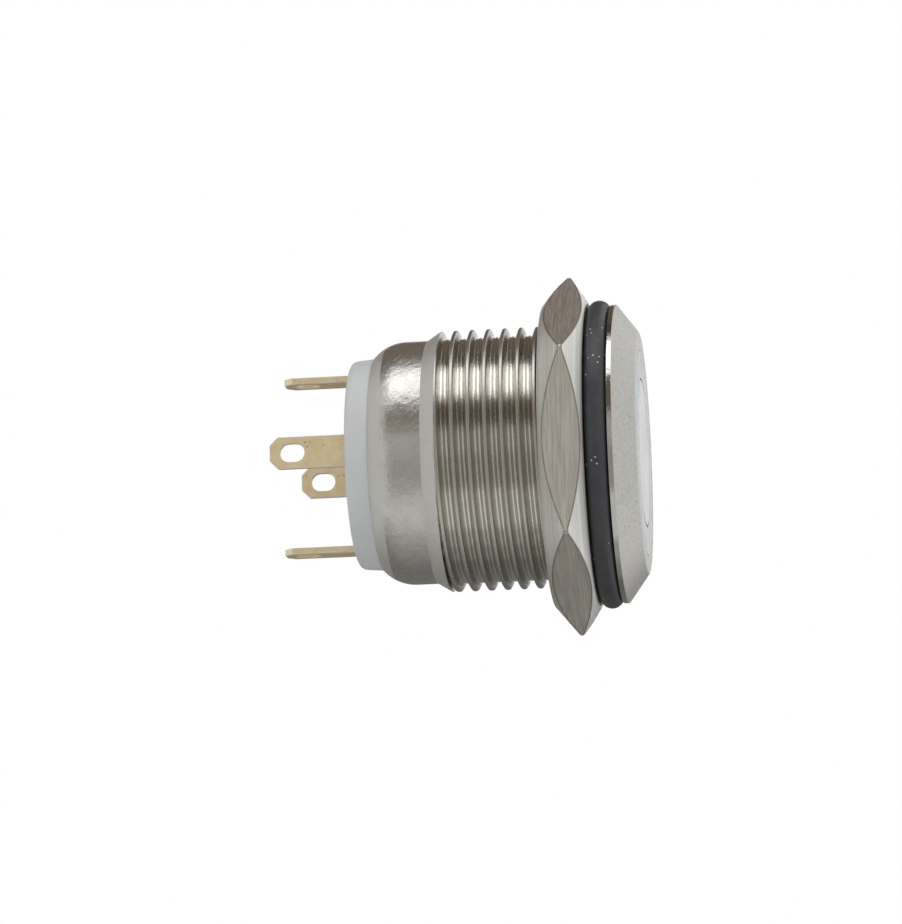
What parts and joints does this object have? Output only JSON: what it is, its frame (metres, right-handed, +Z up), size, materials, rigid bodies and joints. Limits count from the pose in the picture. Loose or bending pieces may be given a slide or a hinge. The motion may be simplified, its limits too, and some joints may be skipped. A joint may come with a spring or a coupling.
{
  "type": "panel push button switch",
  "caption": "Vandal-resistant metal push button with ring light, gasket, hexagon nut and solder terminals, for a round panel hole.",
  "frame": {"origin": "on the button's axis, in the plane of the flange's rear face that seats on the panel", "axes": "-Y out of the front face towards the finger, +Y along the thread towards the terminals, +Z up"},
  "size_m": [0.0204, 0.0222, 0.022],
  "materials": {
    "nickel_plated_brass": "satin nickel plate over turned brass",
    "nickel_plated_nut": "satin nickel plate, turned chamfers",
    "satin_button_metal": "satin",
    "clear_plastic": "translucent",
    "seal_rubber": "smooth",
    "gasket_rubber": "smooth, slightly dusty",
    "white_moulding": "moulded",
    "dark_moulding": "moulded",
    "base_moulding": "moulded, slightly translucent",
    "spring_steel": "drawn wire",
    "contact_strip": "rolled",
    "contact_silver": "bright",
    "circuit_board": "white solder mask",
    "led_body": "moulded",
    "resistor_body": "matt",
    "plated_terminal": "thin gold plate over brass"
  },
  "bodies": {
    "housing": {"housing": "nickel_plated_brass", "halo_light_ring": "clear_plastic", "led_board": "circuit_board", "led_1": "led_body", "led_2": "led_body", "led_3": "led_body", "led_4": "led_body", "led_resistor": "resistor_body", "contact_carrier": "dark_moulding", "insulator_base": "base_moulding", "terminal_common": "plated_terminal", "terminal_normally_open": "plated_terminal", "terminal_light_plus": "plated_terminal", "terminal_light_minus": "plated_terminal", "fixed_contact_common": "contact_silver", "fixed_contact_open": "contact_silver"},
    "button": {"actuator_cap": "satin_button_metal", "stem_seal_ring": "seal_rubber", "plunger": "white_moulding", "return_spring": "spring_steel", "contact_spring": "spring_steel", "moving_contact_bridge": "contact_strip", "bridge_clip": "spring_steel", "moving_contact_common": "contact_silver", "moving_contact_open": "contact_silver"},
    "gasket": {"panel_gasket": "gasket_rubber"},
    "nut": {"hex_nut": "nickel_plated_nut"}
  },
  "joints": [
    {"name": "button_press", "type": "slide", "parent": "housing", "child": "button", "axis": [0, 1, 0], "range_m": [0, 0.001], "stiffness_N_per_m": 900, "springref_m": -0.002, "deforming": ["return_spring"]},
    {"name": "nut_turn", "type": "hinge", "parent": "housing", "child": "gasket", "pos_m": [0, 0, 0], "axis": [0, 1, 0], "range_deg": [0, 2161]},
    {"name": "nut_travel", "type": "slide", "parent": "gasket", "child": "nut", "axis": [0, 1, 0], "range_m": [0, 0.006]}
  ],
  "couplings": [
    {"joint": "nut_turn", "follows": "nut_travel", "rad_per_m": 6283.2}
  ]
}
